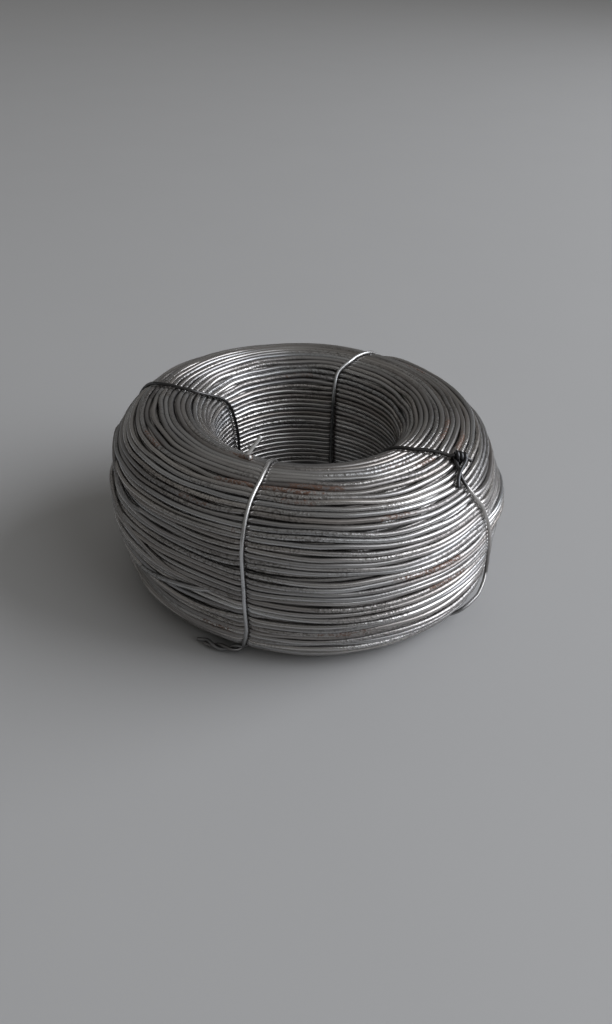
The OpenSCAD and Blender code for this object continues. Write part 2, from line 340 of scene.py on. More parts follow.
class Lay:
    """Stations and lifts of all surface turns over the directions."""

    # Turns that lie in one bundle, and how many waves a bundle may make in one turn.
    BUNDLE, LONGEST = 9, 3
    # Waves per turn in the lift of bundles and of single turns and in the wedges between turns.
    BUNDLE_WAVES, OWN_WAVES, WEDGE_WAVES = (1, 2, 3, 4), (1, 2, 3, 5, 8), (2, 3, 5, 8, 11)
    # The bundles' lift is drawn for every so many turns, at least so often in a block.
    LIFT_EVERY, LIFT_LEAST = 4, 4
    # How far turns stand proud or sunk in mm, and how loosely they lie, at places on the section.
    ROUGH = ((0, 0.1), (1, 0.3), (2, 0.55), (3, 0.44), (4, 0.26), (5, 0.16), (6, 0.06))
    LOOSE = ((0, 0.5), (1, 0.8), (2, 1), (4, 1), (5, 0.7), (6, 0.5))
    # Shares of that lift that a turn has alone and with its bundle, and its lowest and highest lift.
    ALONE, TOGETHER, LOWEST, HIGHEST = 0.65, 0.5, -1.5, 1.2
    # The closest that two turns' middles come, as a share of the wire.
    CLOSEST = 0.55
    # Wedges between turns: how many more are open than shut, least and most opening, and how sharply they open.
    WEDGE_BIAS, WEDGE_LEAST, WEDGE_MOST, WEDGE_POWER = 0.15, 0.03, 1.6, 1.5
    # Rings lie that much closer within that angle of a tie, found in that many fine steps.
    CLOSER, CLOSER_WITHIN, FINE = 5, math.radians(3.5), 2880
    # A turn's own lift fades out within that many widths of a pinch.
    CALM = 4

    def __init__(self, sizes, ties):
        self.section = SectionLine(sizes)
        self.wire, self.ties = sizes.wire, ties
        rng = np.random.default_rng(sizes.seed)
        bore_from = self.section.where(BORE)
        blocks = (
            (0.0, bore_from, sizes.loose_turns),
            (bore_from, self.section.length, sizes.bore_turns),
        )
        laid = [self.block(rng, *block) for block in blocks]
        self.stations = np.vstack([b[0] for b in laid])
        self.lifts = np.vstack([b[1] for b in laid])
        self.count = len(self.stations)
        self.places = self.section.place(self.stations.mean(1))

    def block(self, rng, start, end, count):
        """Lays count turns side by side from one station to another."""
        pitch = (end - start) / count
        nominal = start + (np.arange(count) + 0.5) * pitch
        places = self.section.place(nominal)
        # Lift: single turns and bundles stand a little proud or sunk, most on the outer face.
        rough = at_places(self.ROUGH, places)[:, None] * MM
        knots = max(self.LIFT_LEAST, count // self.LIFT_EVERY)
        ends = np.linspace(0, knots - 1, count)
        bundles = wander(rng, knots, self.BUNDLE_WAVES)
        low = np.minimum(ends.astype(int), knots - 2)
        share = (ends - low)[:, None]
        lifts = rough * (self.ALONE * wander(rng, count, self.OWN_WAVES)
                         + self.TOGETHER * ((1 - share) * bundles[low] + share * bundles[low + 1]))
        lifts = np.clip(lifts, self.LOWEST * rough, self.HIGHEST * rough)
        for place, direction, half, rise in SQUEEZED:
            station = self.section.where(place)
            if start <= station < end:
                k = int((station - start) / pitch)
                lifts[k] = np.maximum(lifts[k], 0) + rise * MM * bump(LAY, direction, half, SQUEEZE_EDGE)
        # Two turns touch, with their middles closer where one of them stands higher.
        touching = np.sqrt(np.clip(
            self.wire ** 2 - np.diff(lifts, axis=0) ** 2, (self.CLOSEST * self.wire) ** 2, None))
        # What room is left opens some of the gaps, in wedges that come and go along the wire.
        wedges = wander(rng, count, self.WEDGE_WAVES) + self.WEDGE_BIAS
        wedges = np.clip(wedges, self.WEDGE_LEAST, self.WEDGE_MOST) ** self.WEDGE_POWER
        opening = at_places(self.LOOSE, places)[:, None] * wedges
        slack = (end - start) - self.wire - touching.sum(0)
        opening *= np.clip(slack, 0, None) / opening.sum(0)
        ahead = np.cumsum(np.vstack([np.full(len(LAY), self.wire / 2), touching + opening[:-1]]), axis=0)
        # A bundle runs in long curves only: the short waves that all its turns share are taken out.
        padded = np.pad(ahead, ((self.BUNDLE // 2, self.BUNDLE // 2), (0, 0)), mode="edge")
        shared = sum(padded[k:k + count] for k in range(self.BUNDLE)) / self.BUNDLE
        waves = np.fft.rfft(shared, axis=1)
        waves[:, :self.LONGEST + 1] = 0
        ahead -= np.fft.irfft(waves, len(LAY), axis=1)
        # A gap that stands open pushes the turns on both sides of it away, less and less towards the ends.
        number = np.arange(count)[:, None]
        for place, direction, half, gap in OPEN_GAPS:
            station = self.section.where(place)
            if start <= station < end:
                pushed = (number > int((station - start) / pitch)) - number / (count - 1)
                ahead += gap * MM * pushed * bump(LAY, direction, half, GAP_EDGE)
        return start + ahead, lifts

    def rings(self, turn, count):
        """Directions, radii and heights of the rings of one turn, closer where a tie crosses it."""
        fine = np.linspace(-np.pi, np.pi, self.FINE + 1)
        crossings = [tie_direction(name, self.places[turn]) for name in TIE_LINES]
        density = 1 + sum(self.CLOSER * np.exp(-(wrapped(fine - a) / self.CLOSER_WITHIN) ** 2) for a in crossings)
        total = np.concatenate([[0], np.cumsum((density[1:] + density[:-1]) / 2)])
        angle = np.interp(np.arange(count) / count * total[-1], total, fine)
        station = np.interp(angle, LAY, self.stations[turn], period=2 * np.pi)
        lift = np.interp(angle, LAY, self.lifts[turn], period=2 * np.pi)
        place = self.section.place(station % self.section.length)
        radius = self.section.at(station)[0]
        for name in TIE_LINES:
            away = wrapped(angle - tie_direction(name, place)) * radius / self.ties.pinch_width
            lift *= 1 - np.exp(-(away / self.CALM) ** 2)
            lift -= pinch(self.ties, place) * np.exp(-away ** 2)
        radius, height = self.section.at(station, lift + form(place, angle))
        return angle, radius, np.maximum(height, self.wire / 2)


def skewed(points, sizes):
    """Points with the stack's lean: the foot has slid one way and the crown the other."""
    points = np.array(points, float)
    points[:, 0] += sizes.skew * (1 - 2 * points[:, 2] / sizes.height)
    return points


# Streaks of rust along a turn: place on the section, first and last direction, and how strong.
RUST = (
    (3.77, -124, -76, 1.0), (3.80, -100, -70, 0.8), (3.95, -63, -44, 0.6), (3.84, -50, -33, 0.7),
    (3.95, -30, -1, 0.8), (3.767, -29, -9, 0.8), (3.75, -163, -141, 0.8), (2.72, -68, -38, 1.0),
    (2.46, -58, -35, 0.8), (2.08, -92, -66, 0.6), (1.97, -121, -106, 0.7), (3.43, -72, -55, 0.6),
    (3.43, -130, -112, 0.6), (3.66, -100, -82, 0.6), (3.30, -112, -96, 0.4), (5.1, -127, -108, 0.6),
    (5.6, 80, 112, 0.5), (2.3, 12, 40, 0.9), (2.8, 70, 95, 0.8), (3.3, 110, 135, 0.8),
    (2.15, 140, 170, 0.7), (3.75, 30, 60, 0.7), (3.6, 90, 112, 0.5), (2.55, -172, -150, 0.6), (1.7, 50, 80, 0.7),
)
# Share of a streak that the turn itself and the turns beside it have, and how fast it fades towards its ends.
RUST_REACH = {0: 1.0, 1: 0.35}
RUST_FADE = 2.0


def rust_along(lay, turn, angle):
    """Share of rust along one turn: strong on the turn of a streak, faint on the turns beside it."""
    found = np.zeros_like(angle)
    for place, first, last, strength in RUST:
        middle, half = math.radians((first + last) / 2), math.radians((last - first) / 2)
        column = int(round(math.degrees(middle))) % 360
        nearest = int(np.argmin(np.abs(lay.stations[:, column] - lay.section.where(place))))
        reach = RUST_REACH.get(abs(turn - nearest), 0.0)
        share = np.abs(wrapped(angle - middle)) / half
        found = np.maximum(found, reach * strength * np.clip(RUST_FADE * (1 - share), 0, 1))
    return found


def set_values(mesh, name, values):
    """Writes one number per vertex to an attribute of the mesh."""
    layer = mesh.attributes.get(name) or mesh.attributes.new(name, "FLOAT", "POINT")
    layer.data.foreach_set("value", np.asarray(values, np.float32))


def values_of(mesh, name):
    """The numbers that an attribute of the mesh holds for its vertices."""
    found = np.empty(len(mesh.vertices), np.float32)
    mesh.attributes[name].data.foreach_get("value", found)
    return found.astype(float)


def lay_map(mesh, along, around, length, girth):
    """A UV map in metres that runs along the wire and round it, without a jump where it closes."""
    corner = np.empty(len(mesh.loops), np.int32)
    mesh.loops.foreach_get("vertex_index", corner)
    first = np.empty(len(mesh.polygons), np.int32)
    mesh.polygons.foreach_get("loop_start", first)
    sides = np.diff(np.append(first, len(corner)))
    columns = []
    for values, period in ((along, length), (around, girth)):
        value = np.asarray(values)[corner]
        low = np.repeat(np.minimum.reduceat(value, first), sides)
        high = np.repeat(np.maximum.reduceat(value, first), sides)
        whole = np.broadcast_to(np.asarray(period, float), np.shape(values))[corner]
        value = np.where((high - low > whole / 2) & (value < whole / 2), value + whole, value)
        columns.append(value)
    layer = mesh.uv_layers.new(name="wire")
    layer.uv.foreach_set("vector", np.stack(columns, 1).astype(np.float32).ravel())


def finished(bm, name, material):
    """The bmesh as a smooth shaded object of the scene with its material."""
    mesh = bpy.data.meshes.new(name)
    bm.to_mesh(mesh)
    bm.free()
    mesh.materials.append(material)
    mesh.polygons.foreach_set("use_smooth", np.ones(len(mesh.polygons), bool))
    piece = bpy.data.objects.new(name, mesh)
    bpy.context.scene.collection.objects.link(piece)
    return piece


def coordinates(mesh):
    """The places of the mesh's vertices, one row each."""
    co = np.empty(len(mesh.vertices) * 3, np.float32)
    mesh.vertices.foreach_get("co", co)
    return co.reshape(-1, 3).astype(float)


def move_to(mesh, places):
    """Moves the mesh's vertices to new places."""
    mesh.vertices.foreach_set("co", np.asarray(places, np.float32).ravel())
    mesh.update()


def wound_turns(name, turns, steps, sides, sizes, material):
    """Closed turns of round wire: turns holds each one's direction, radius, height, rust and number at its rings."""
    bm = bmesh.new()
    layer = bm.verts.layers.float.new("turn")
    rings = []
    start, apart = sizes.outside / 2, 2 * sizes.wire
    for number in range(len(turns)):
        made = bmesh.ops.create_circle(
            bm, cap_ends=False, radius=sizes.wire / 2, segments=sides,
            matrix=Matrix.Translation((start, 0, apart * number)) @ Matrix.Rotation(math.pi / 2, 4, "X"))
        for vert in made["verts"]:
            vert[layer] = number
        rings += made["verts"]
    edges = list({edge for vert in rings for edge in vert.link_edges})
    bmesh.ops.spin(
        bm, geom=rings + edges, cent=(0, 0, 0), axis=(0, 0, 1), dvec=(0, 0, 0),
        angle=2 * math.pi, steps=steps, use_merge=True, use_duplicate=False)
    bmesh.ops.recalc_face_normals(bm, faces=bm.faces[:])
    piece = finished(bm, name, material)
    mesh = piece.data
    co = coordinates(mesh)
    number = np.rint(values_of(mesh, "turn")).astype(int)
    ring = np.rint(np.arctan2(co[:, 1], co[:, 0]) / (2 * np.pi) * steps).astype(int) % steps
    side_r = np.hypot(co[:, 0], co[:, 1]) - start
    side_z = co[:, 2] - apart * number
    angle, radius, height, rust, tag = (
        np.array([np.broadcast_to(turn[k], steps) for turn in turns])[number, ring] for k in range(5))
    move_to(mesh, skewed(turned(angle, radius + side_r, height + side_z), sizes))
    mean = np.array([np.mean(turn[1]) for turn in turns])[number]
    lay_map(
        mesh, (angle + np.pi) * mean, (np.arctan2(side_z, side_r) + np.pi) * sizes.wire / 2,
        2 * np.pi * mean, np.pi * sizes.wire)
    set_values(mesh, "turn", tag)
    set_values(mesh, "rust", rust)
    return piece


# A direction that no wire runs along, which starts the rings of a swept wire.
ASKEW = (0.31, 0.52, 0.8)
# Longer than any swept wire, so that its map never closes along it.
OPEN_RUN = 10.0


def swept_wire(line, diameter, sides):
    """A bmesh of a round wire with flat ends along the points of a line."""
    bm = bmesh.new()
    ring = bmesh.ops.create_circle(bm, cap_ends=False, radius=diameter / 2, segments=sides)["verts"]
    bmesh.ops.spin(
        bm, geom=ring + bm.edges[:], cent=(0, 0, 0), axis=(0, 0, 1), dvec=(0, 0, diameter),
        angle=0, steps=len(line) - 1, use_merge=False, use_duplicate=False)
    bmesh.ops.holes_fill(bm, edges=[e for e in bm.edges if e.is_boundary], sides=0)
    ways = ways_of(line)
    side = np.cross(ways[0], ASKEW)
    frames = []
    for point, way, length in zip(line, ways, run_of(line)):
        side = side - way * np.dot(side, way)
        side /= np.linalg.norm(side)
        frames.append((Vector(point), Vector(side), Vector(np.cross(way, side)), length))
    run = bm.verts.layers.float.new("run")
    around = bm.verts.layers.float.new("around")
    for vert in bm.verts:
        point, u, v, vert[run] = frames[round(vert.co.z / diameter)]
        vert[around] = math.atan2(vert.co.y, vert.co.x) % (2 * math.pi) * diameter / 2
        vert.co = point + vert.co.x * u + vert.co.y * v
    bmesh.ops.recalc_face_normals(bm, faces=bm.faces[:])
    return bm


def wire_piece(name, line, diameter, sides, sizes, material, tag, rust=0.0, oxide_and_shade=0.0):
    """A round wire along a line, with its map, its number, its rust, and its black oxide with painted shade at the
    line's points.
    """
    piece = finished(swept_wire(line, diameter, sides), name, material)
    mesh = piece.data
    run, around = (values_of(mesh, key) for key in ("run", "around"))
    lay_map(mesh, run, around, OPEN_RUN, math.pi * diameter)
    move_to(mesh, skewed(coordinates(mesh), sizes))
    for key, value in (("turn", tag), ("rust", rust), ("oxide_and_shade", oxide_and_shade)):
        set_values(mesh, key, np.interp(run, run_of(line), np.broadcast_to(value, len(line))))
    return piece


def own_piece(piece, cad_node):
    """Fixes a piece to the coil, in place of its CAD node."""
    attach(piece, ROOT)
    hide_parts(cad_node)


# How often the corners of a line are cut to make it smooth.
CUTS = 4


def smooth_line(points, step):
    """Points about a step apart on a smooth line that follows the given points from the first to the last."""
    points = np.asarray(points, float)
    for _ in range(CUTS):
        ahead = 0.75 * points[:-1] + 0.25 * points[1:]
        behind = 0.25 * points[:-1] + 0.75 * points[1:]
        points = np.concatenate([points[:1], np.stack([ahead, behind], 1).reshape(-1, 3), points[-1:]])
    length = run_of(points)[-1]
    return resampled(points, np.linspace(0, length, max(3, round(length / step))))


def node(tree, kind, inputs=None, output=0, **settings):
    """Adds a shader node of a kind with its settings, sets or links its inputs, and returns an output."""
    made = tree.nodes.new("ShaderNode" + kind)
    for key, value in settings.items():
        setattr(made, key, value)
    for key, value in (inputs or {}).items():
        if isinstance(value, bpy.types.NodeSocket):
            tree.links.new(value, made.inputs[key])
        else:
            made.inputs[key].default_value = value
    return made.outputs[output]


def new_material(name):
    """A new node material, its tree and its shader."""
    material = bpy.data.materials.new(name)
    material.use_nodes = True
    tree = material.node_tree
    return material, tree, tree.nodes["Principled BSDF"]


def rgba(colour):
    """A colour with full alpha."""
    return (*colour, 1.0)


# Patterns along the wire: length and width in mm (None where they go right round it), how far apart two
# neighbouring turns lie in the pattern, and its detail. The real draw lines are finer than the render shows.
PATTERNS = {
    "lines": (25, 0.35, 3.7, 2.0),
    "grey": (40, 3, 3.7, 3.0),
    "pitted": (30, None, 9.1, 1.0),
    "tinge": (60, None, 5.3, 1.0),
}
# Size of the beads of pits and scale and of the grains of rust, and depth of the beads and of the draw lines.
BEAD, GRAIN, BEAD_DEPTH, LINE_DEPTH = 0.55 * MM, 1.2 * MM, 0.17 * MM, 0.05 * MM
# Tinges of the browner and the bluer stretches.
WARM, COLD = linear("#FFF9F4"), linear("#F8FBFF")


def steel_wire(name, finish, bright, dull, roughness, pitting):
    """Drawn low-carbon steel wire, pulled bright through a die and kept for years.

    The die leaves fine lines along the wire, so its gloss breaks into long streaks; handling and damp
    have greyed stretches of it, pitted others in beads, and rusted some turns brown.
    """
    material, tree, shader = new_material(name)
    along = node(tree, "UVMap", uv_map="wire")
    place = node(tree, "TexCoord", output="Object")
    turn, rust, oxide_and_shade = (
        node(tree, "Attribute", output="Fac", attribute_name=key) for key in ("turn", "rust", "oxide_and_shade"))
    pattern = {}
    for key, (length, width, apart, detail) in PATTERNS.items():
        scale = (1 / (length * MM), 1 / (width * MM) if width else 0, 0)
        at = node(tree, "VectorMath", {0: along, 1: scale}, operation="MULTIPLY")
        own = node(tree, "Math", {0: turn, 1: apart}, operation="MULTIPLY")
        pattern[key] = node(tree, "TexNoise", {"Vector": at, "W": own, "Scale": 1.0, "Detail": detail},
                            noise_dimensions="4D")

    # Pits and scale in beads, on some stretches and wherever there is rust.
    beads = node(tree, "TexNoise", {"Vector": place, "Scale": 1 / BEAD, "Detail": 2.0})
    pitted = node(tree, "MapRange", {"Value": pattern["pitted"], "From Min": 0.47 - pitting, "From Max": 0.6 - pitting},
                  interpolation_type="SMOOTHSTEP")
    pitted = node(tree, "Math", {0: pitted, 1: rust}, operation="MAXIMUM")
    spots = node(tree, "MapRange", {"Value": beads, "From Min": 0.48, "From Max": 0.62},
                 interpolation_type="SMOOTHSTEP")
    spots = node(tree, "Math", {0: spots, 1: pitted}, operation="MULTIPLY")
    worn = node(tree, "Math", {0: spots, 1: 0.65}, operation="MULTIPLY")

    # Rust in grains that close up where a streak is strong, speckled by the finer beads.
    grains = node(tree, "TexNoise", {"Vector": place, "Scale": 1 / GRAIN, "Detail": 4.0, "Roughness": 0.7})
    rusted = -0.7
    for value, weight in ((rust, 0.56), (beads, 0.5), (grains, 1.0)):
        rusted = node(tree, "Math", {0: value, 1: weight, 2: rusted}, operation="MULTIPLY_ADD")
    rusted = node(tree, "MapRange", {"Value": rusted, "From Min": 0.3, "From Max": 0.54, "To Max": 0.85},
                  interpolation_type="SMOOTHSTEP")
    bare = node(tree, "MapRange", {"Value": beads, "From Min": 0.42, "From Max": 0.5, "To Min": 0.1})
    rusted = node(tree, "Math", {0: rusted, 1: bare}, operation="MULTIPLY")
    brown = node(tree, "Mix", {"Factor": beads, "A": rgba(finish.rust), "B": rgba(finish.stain)}, "Result",
                 data_type="RGBA")

    # Grey: each turn has its own tone, and stretches of it are greyer.
    tone = node(tree, "MapRange", {"Value": pattern["grey"], "From Min": 0.35, "From Max": 0.68, "To Max": 0.7})
    number = node(tree, "Math", {0: turn}, operation="ROUND")
    own = node(tree, "TexWhiteNoise", {"W": number}, noise_dimensions="1D")
    tone = node(tree, "Math", {0: own, 1: 0.5, 2: tone}, operation="MULTIPLY_ADD")
    tone = node(tree, "Math", {0: tone, 1: 0.1}, operation="SUBTRACT", use_clamp=True)
    # A breath of colour, brown in places and blue in others.
    tinge = node(tree, "MapRange", {"Value": pattern["tinge"], "From Min": 0.3, "From Max": 0.7})
    tinge = node(tree, "Mix", {"Factor": tinge, "A": rgba(WARM), "B": rgba(COLD)}, "Result", data_type="RGBA")
    colour = rgba(getattr(finish, bright))
    # On the ties the black oxide colour is laid on by their oxide share, which is partly painted shade: darker where a
    # tie lies in shade or faces away from the light.
    for share, over, blend in (
            (tone, rgba(getattr(finish, dull)), "MIX"), (oxide_and_shade, rgba(finish.oxide_and_shade), "MIX"), (1.0, tinge, "MULTIPLY"),
            (worn, rgba(finish.pit), "MIX"), (rusted, brown, "MIX")):
        colour = node(tree, "Mix", {"Factor": share, "A": colour, "B": over},
                      "Result", data_type="RGBA", blend_type=blend)

    # A skin of grey oxide takes a little of the metal's mirror, and rust most of it.
    metal = node(tree, "MapRange", {"Value": rusted, "To Min": 0.92, "To Max": 0.35})
    gloss = node(tree, "MapRange", {"Value": pattern["lines"], "From Min": 0.3, "From Max": 0.7,
                                    "To Min": roughness - 0.1, "To Max": roughness + 0.04})
    for value, weight in ((tone, 0.14), (rusted, 0.35)):
        gloss = node(tree, "Math", {0: value, 1: weight, 2: gloss}, operation="MULTIPLY_ADD")

    height = node(tree, "Math", {0: beads, 1: pitted}, operation="MULTIPLY")
    relief = node(tree, "Bump", {"Height": height, "Strength": 1.0, "Distance": BEAD_DEPTH})
    relief = node(tree, "Bump", {"Height": pattern["lines"], "Strength": 0.7, "Distance": LINE_DEPTH,
                                 "Normal": relief})
    for key, value in (("Base Color", colour), ("Metallic", metal), ("Roughness", gloss), ("Normal", relief)):
        tree.links.new(value, shader.inputs[key])
    return material


# The wire's materials: colour where it is bright and where it is dull, roughness, and how readily it is pitted.
FINISHES = {
    "drawn_steel_wire": ("steel", "dull", 0.26, 0.0),
    "scuffed_wire_end": ("bare", "bare", 0.5, -0.2),
    "annealed_tie_wire": ("tie", "steel", 0.26, -0.1),
}


def finish_material(name, scene):
    """The material of that name, made the first time that a piece asks for it."""
    return bpy.data.materials.get(name) or steel_wire(name, scene.coil_finish, *FINISHES[name])


class COIL_OT_stage(Operator):
    """Make the floor, the light and the camera"""

    bl_idname = "coil.stage"
    bl_label = "Stage"

    # Half the floor's width, the size of its clouds, their shade and its roughness.
    FLOOR, CLOUD, CLOUD_SHADE, FLOOR_ROUGHNESS = 6.0, 60 * MM, 0.97, 0.55
    # Heights on the room's dome, as a share, between which its light changes, and its tint.
    LOW, HIGH, ROOM_TINT = 0.1, 0.9, linear("#FFFDF9")
    # The soft panels: their strength's property, direction from +X and angle above the floor in degrees, width and
    # height; how far away they are, and their tint.
    PANELS = {"window": ("key", 8, 29, 1.8, 1.5), "front_light": ("fill", -28, 36, 1.7, 1.7)}
    DISTANCE, PANEL_TINT = 1.8, linear("#F6F9FF")
    # The camera's place and view, the turn of its frame, and its focal length in pixels of a frame so many high.
    EYE, VIEW, ROLL = (0, -228.54 * MM, 165.51 * MM), (0.00111, 0.83266, -0.55379), math.radians(3.21)
    FOCAL, FRAME, SENSOR, CLIP = 924, 1024, 36, 0.01

    def execute(self, context):
        scene, stage = context.scene, context.scene.coil_stage
        scene.view_settings.view_transform = "Standard"

        bm = bmesh.new()
        bmesh.ops.create_grid(bm, x_segments=1, y_segments=1, size=self.FLOOR)
        floor = finished(bm, "floor", self.floor_material(stage))

        world = bpy.data.worlds.new("room")
        world.use_nodes = True
        scene.world = world
        tree = world.node_tree
        up = node(tree, "TexCoord", output="Generated")
        up = node(tree, "SeparateXYZ", {0: up}, "Z")
        level = node(tree, "MapRange", {"Value": up, "From Min": self.LOW, "From Max": self.HIGH,
                                        "To Min": stage.room, "To Max": stage.ceiling})
        background = tree.nodes["Background"]
        tree.links.new(level, background.inputs["Strength"])
        background.inputs["Color"].default_value = rgba(self.ROOM_TINT)

        for name, row in self.PANELS.items():
            self.panel(scene, name, *row)
        self.camera(scene)
        return {"FINISHED"}

    def panel(self, scene, name, strength, azimuth, height, width, tall):
        """A soft round panel that faces the coil and gives it the strength of that property."""
        lamp = bpy.data.lights.new(name, "AREA")
        lamp.shape = "ELLIPSE"
        lamp.color = self.PANEL_TINT
        lamp.size, lamp.size_y = width, tall
        lamp.energy = math.pi * getattr(scene.coil_stage, strength) * self.DISTANCE ** 2
        panel = bpy.data.objects.new(name, lamp)
        way = Vector((1, 0, 0))
        way.rotate(Euler((0, -math.radians(height), math.radians(azimuth))))
        panel.location = self.DISTANCE * way
        panel.rotation_euler = way.to_track_quat("Z", "Y").to_euler()
        panel.visible_camera = False
        scene.collection.objects.link(panel)

    def floor_material(self, stage):
        """Plain pale laminate, rolled matt: a faint cloudiness and nothing else."""
        material, tree, shader = new_material("pale_laminate")
        place = node(tree, "TexCoord", output="Object")
        cloud = node(tree, "TexNoise", {"Vector": place, "Scale": 1 / self.CLOUD, "Detail": 2.0})
        shade = [self.CLOUD_SHADE * c for c in stage.floor]
        colour = node(tree, "Mix", {"Factor": cloud, "A": rgba(stage.floor), "B": rgba(shade)},
                      "Result", data_type="RGBA")
        tree.links.new(colour, shader.inputs["Base Color"])
        shader.inputs["Roughness"].default_value = self.FLOOR_ROUGHNESS
        return material

    def camera(self, scene):
        """Looks down on the coil as the photograph does, with its slight turn of the frame."""
        data = bpy.data.cameras.new("camera")
        data.lens = self.SENSOR * self.FOCAL / self.FRAME
        data.sensor_width = self.SENSOR
        data.clip_start = self.CLIP
        camera = bpy.data.objects.new("camera", data)
        aim = Vector(self.VIEW).to_track_quat("-Z", "Y").to_matrix().to_4x4()
        camera.matrix_world = Matrix.Translation(self.EYE) @ aim @ Matrix.Rotation(self.ROLL, 4, "Z")
        scene.collection.objects.link(camera)
        scene.camera = camera


class COIL_OT_turns(Operator):
    """Wind the turns that show, in four groups round the section"""

    bl_idname = "coil.turns"
    bl_label = "Turns"

    STEPS, SIDES = 192, 10
    # Each group's first and last place on the section; past the last stretch they go on with the first.
    GROUPS = (
        ("outer_turns", 0.7, 3.0),
        ("crown_turns", 3.0, 5.45),
        ("bore_turns", 5.45, 7.6),
        ("foot_turns", 7.6, 9.7),
    )

    def execute(self, context):
        scene = context.scene
        lay = Lay(scene.coil_sizes, scene.coil_ties)
        material = finish_material("drawn_steel_wire", scene)
        for name, first, last in self.GROUPS:
            turns = []
            for k in range(lay.count):
                place = lay.places[k] + (STRETCHES if lay.places[k] < self.GROUPS[0][1] else 0)
                if first <= place < last:
                    angle, radius, height = lay.rings(k, self.STEPS)
                    turns.append((angle, radius, height, rust_along(lay, k, angle), float(k)))
            piece = wound_turns(name, turns, self.STEPS, self.SIDES, scene.coil_sizes, material)
            own_piece(piece, COIL_NODE)
        return {"FINISHED"}


class COIL_OT_under_turns(Operator):
    """Wind the layer below, which shows between the turns"""

    bl_idname = "coil.under_turns"
    bl_label = "Turns below"

    STEPS, SIDES = 96, 6
    # How deep the layer lies, the spacing of its turns, and how far and in what waves they drift from side to side.
    DEPTH, PITCH, DRIFT, WAVES = 0.95 * MM, 1.44 * MM, 1.2 * MM, (1, 2, 3)
    # A pinch is that much wider here.
    WIDER = 2
    # The rust on each turn, and the first one's number.
    RUST, FIRST = 0.1, 200.0

    def execute(self, context):
        scene = context.scene
        sizes, ties = scene.coil_sizes, scene.coil_ties
        section = SectionLine(sizes)
        rng = np.random.default_rng(sizes.seed + 1)
        angle = np.linspace(-np.pi, np.pi, self.STEPS, endpoint=False)
        drift = np.interp(angle, LAY, self.DRIFT * wander(rng, 1, self.WAVES)[0], period=2 * np.pi)
        turns = []
        for k in range(int(section.length / self.PITCH)):
            station = self.PITCH * k + drift
            place = section.place(station)
            lift = form(place, angle) - self.DEPTH
            for name in TIE_LINES:
                away = wrapped(angle - tie_direction(name, place)) * section.at(station)[0]
                lift -= pinch(ties, place) * np.exp(-(away / (self.WIDER * ties.pinch_width)) ** 2)
            radius, height = section.at(station, lift)
            turns.append((angle, radius, height, self.RUST, self.FIRST + k))
        piece = wound_turns("under_turns", turns, self.STEPS, self.SIDES, sizes,
                            finish_material("drawn_steel_wire", scene))
        own_piece(piece, COIL_NODE)
        return {"FINISHED"}


class COIL_OT_stray_turns(Operator):
    """Lay the stretches of wire that cross over their neighbours"""

    bl_idname = "coil.stray_turns"
    bl_label = "Crossing turns"

    # First and last place on the section and direction, each between two ties.
    STRAYS = (
        (2.95, -178, 2.52, -114), (2.12, -158, 2.5, -110), (3.28, -186, 3.02, -136),
        (2.6, -12, 2.2, 52), (3.0, 0, 2.7, 55),
        (2.95, 74, 2.45, 150), (2.2, 78, 2.62, 148), (3.3, 80, 3.12, 140),
    )
    STEP, SIDES = 1.2 * MM, 10
    # Heights above the turns' middles: dived in at the ends, and on top of two neighbours between.
    DIVED, ON_TOP = -1.0 * MM, 1.05 * MM
    # Share of its length over which a stretch comes up.
    RAMP = 0.2
    # The rust on each stretch, and the first one's number.
    RUST, FIRST = 0.1, 401.0

    def execute(self, context):
        scene = context.scene
        sizes = scene.coil_sizes
        section = SectionLine(sizes)
        for number, (first, start, last, end) in enumerate(self.STRAYS):
            count = round(math.radians(end - start) * sizes.outside / 2 / self.STEP)
            share = np.linspace(0, 1, count)
            angle = np.radians(start + (end - start) * share)
            place = first + (last - first) * ease(share)
            up = ease(np.clip(np.minimum(share, 1 - share) / self.RAMP, 0, 1))
            lift = self.DIVED + (self.ON_TOP - self.DIVED) * up + form(place, angle)
            line = turned(angle, *section.at(section.where(place), lift))
            piece = wire_piece(f"stray_turn_{number + 1}", line, sizes.wire, self.SIDES, sizes,
                               finish_material("drawn_steel_wire", scene), self.FIRST + number, self.RUST)
            own_piece(piece, COIL_NODE)
        return {"FINISHED"}


class COIL_OT_wire_end(Operator):
    """Add the wire's free end and the cut end beside it, with a lighter disc on its cut face as a painted highlight"""

    bl_idname = "coil.wire_end"
    bl_label = "Wire end"

    # Points of the two ends in mm.
    STUB = ((-17.4, -29.3, 46.5), (-15.0, -30.8, 48.3), (-14.2, -30.7, 49.3), (-13.7, -30.5, 49.9),
            (-10.3, -28.1, 54.0))
    CUT = ((-20.4, -27.6, 47.9), (-17.4, -29.6, 48.9), (-15.0, -31.2, 49.5), (-13.5, -31.7, 49.85),
           (-12.8, -32.3, 50.2))
    # The sheared face of the cut end, bare steel made lighter as a painted highlight: how wide, and how far it stands
    # out of the rust.
    FACE_WIDTH, FACE_DEPTH = 0.9 * MM, 0.05 * MM
    STEP, SIDES, NUMBER = 0.5 * MM, 14, 301.0

    def execute(self, context):
        scene = context.scene
        sizes = scene.coil_sizes
        stub, cut = (smooth_line(np.array(points) * MM, self.STEP) for points in (self.STUB, self.CUT))
        way = (cut[-1] - cut[-2]) / np.linalg.norm(cut[-1] - cut[-2])
        face = np.array([cut[-1] + share * self.FACE_DEPTH * way for share in (-2, 0, 1)])
        for name, line, diameter, rust, finish in (
                ("wire_end", stub, sizes.stub, 0.0, "scuffed_wire_end"),
                ("cut_end", cut, sizes.wire, 0.8, "drawn_steel_wire"),
                ("cut_face_and_highlight", face, self.FACE_WIDTH, 0.0, "scuffed_wire_end")):
            material = finish_material(finish, scene)
            piece = wire_piece(name, line, diameter, self.SIDES, sizes, material, self.NUMBER, rust)
            own_piece(piece, COIL_NODE)
        return {"FINISHED"}


